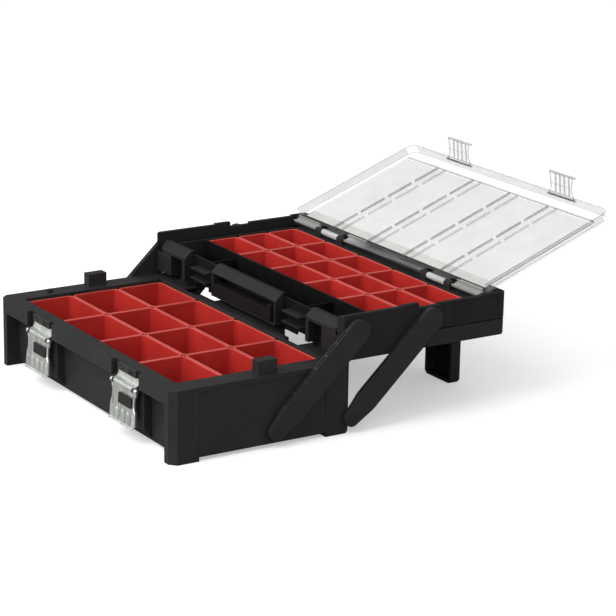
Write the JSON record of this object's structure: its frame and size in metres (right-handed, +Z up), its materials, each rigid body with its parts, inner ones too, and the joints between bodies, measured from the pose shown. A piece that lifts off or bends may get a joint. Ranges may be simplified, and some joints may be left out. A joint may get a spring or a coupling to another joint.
{
  "type": "cantilever tool box",
  "caption": "Open cantilever tool box: a lower case and an upper tray of lift-out bins on parallel arms, with a rear stand, a clear hinged lid, clips, latches and a fold-in handle.",
  "frame": {"origin": "on the floor under the middle of the open box as seen from above", "axes": "+X towards the right side of the box, +Y towards its back, +Z up"},
  "size_m": [0.5784, 0.8044, 0.3106],
  "materials": {
    "black_plastic": "moulded, fine matt texture",
    "red_plastic": "moulded, satin",
    "zinc_steel": "zinc plated",
    "clear_plastic": "clear moulded polycarbonate"
  },
  "bodies": {
    "base": {"base_shell": "black_plastic", "latch_bracket_left": "black_plastic", "latch_bracket_right": "black_plastic", "latch_leaf_left": "zinc_steel", "latch_leaf_right": "zinc_steel", "latch_pin_left": "zinc_steel", "latch_pin_right": "zinc_steel", "base_pivot_pins": "black_plastic", "lower_bin_1": "red_plastic", "lower_bin_2": "red_plastic", "lower_bin_3": "red_plastic", "lower_bin_4": "red_plastic", "lower_bin_5": "red_plastic", "lower_bin_6": "red_plastic", "lower_bin_7": "red_plastic", "lower_bin_8": "red_plastic", "lower_bin_9": "red_plastic", "lower_bin_10": "red_plastic", "lower_bin_11": "red_plastic", "lower_bin_12": "red_plastic"},
    "tray": {"tray_shell": "black_plastic", "tray_pivot_pins": "black_plastic", "tray_stand": "black_plastic", "stand_screws": "zinc_steel", "tool_divider_left": "black_plastic", "tool_divider_right": "black_plastic", "handle_pins": "black_plastic", "lid_hinge_pins": "zinc_steel", "upper_bin_1": "red_plastic", "upper_bin_2": "red_plastic", "upper_bin_3": "red_plastic", "upper_bin_4": "red_plastic", "upper_bin_5": "red_plastic", "upper_bin_6": "red_plastic", "upper_bin_7": "red_plastic", "upper_bin_8": "red_plastic", "upper_bin_9": "red_plastic", "upper_bin_10": "red_plastic", "upper_bin_11": "red_plastic", "upper_bin_12": "red_plastic", "upper_bin_13": "red_plastic", "upper_bin_14": "red_plastic", "upper_bin_15": "red_plastic"},
    "lid": {"lid": "clear_plastic", "lid_clip_pins": "zinc_steel"},
    "handle": {"carry_handle": "black_plastic"},
    "latch_left": {"latch_plate_left": "zinc_steel", "latch_pad_left": "black_plastic"},
    "latch_right": {"latch_plate_right": "zinc_steel", "latch_pad_right": "black_plastic"},
    "lid_clip_left": {"lid_clip_left": "clear_plastic"},
    "lid_clip_right": {"lid_clip_right": "clear_plastic"},
    "rear_arm_right": {"rear_arm_right": "black_plastic"},
    "rear_arm_left": {"rear_arm_left": "black_plastic"},
    "front_arm_right": {"front_arm_right": "black_plastic"},
    "front_arm_left": {"front_arm_left": "black_plastic"}
  },
  "joints": [
    {"name": "cantilever", "type": "hinge", "parent": "base", "child": "rear_arm_right", "pos_m": [0.2852, -0.09183, 0.024], "axis": [1, 0, 0], "range_deg": [0, 93.37]},
    {"name": "tray_pivot", "type": "hinge", "parent": "rear_arm_right", "child": "tray", "pos_m": [0.2852, 0.04817, 0.156], "axis": [1, 0, 0], "range_deg": [-93.37, 0]},
    {"name": "rear_arm_left_pivot", "type": "hinge", "parent": "base", "child": "rear_arm_left", "pos_m": [-0.2852, -0.09183, 0.024], "axis": [1, 0, 0], "range_deg": [0, 93.37]},
    {"name": "front_arm_right_pivot", "type": "hinge", "parent": "base", "child": "front_arm_right", "pos_m": [0.2852, -0.22183, 0.024], "axis": [1, 0, 0], "range_deg": [0, 93.37]},
    {"name": "front_arm_left_pivot", "type": "hinge", "parent": "base", "child": "front_arm_left", "pos_m": [-0.2852, -0.22183, 0.024], "axis": [1, 0, 0], "range_deg": [0, 93.37]},
    {"name": "lid_hinge", "type": "hinge", "parent": "tray", "child": "lid", "pos_m": [0, 0.15117, 0.173], "axis": [1, 0, 0], "range_deg": [0, 159.5]},
    {"name": "handle_pivot", "type": "hinge", "parent": "tray", "child": "handle", "pos_m": [0, -0.10553, 0.144], "axis": [-1, 0, 0], "range_deg": [0, 90]},
    {"name": "latch_left_hinge", "type": "hinge", "parent": "base", "child": "latch_left", "pos_m": [-0.14, -0.39283, 0.082], "axis": [-1, 0, 0], "range_deg": [0, 176]},
    {"name": "latch_right_hinge", "type": "hinge", "parent": "base", "child": "latch_right", "pos_m": [0.14, -0.39283, 0.082], "axis": [-1, 0, 0], "range_deg": [0, 176]},
    {"name": "lid_clip_left_hinge", "type": "hinge", "parent": "lid", "child": "lid_clip_left", "pos_m": [-0.14, 0.39953, 0.27226], "axis": [-1, 0, 0], "range_deg": [-15, 80]},
    {"name": "lid_clip_right_hinge", "type": "hinge", "parent": "lid", "child": "lid_clip_right", "pos_m": [0.14, 0.39953, 0.27226], "axis": [-1, 0, 0], "range_deg": [-15, 80]}
  ],
  "couplings": [
    {"joint": "tray_pivot", "follows": "cantilever", "ratio": -1},
    {"joint": "rear_arm_left_pivot", "follows": "cantilever", "ratio": 1},
    {"joint": "front_arm_right_pivot", "follows": "cantilever", "ratio": 1},
    {"joint": "front_arm_left_pivot", "follows": "cantilever", "ratio": 1}
  ]
}
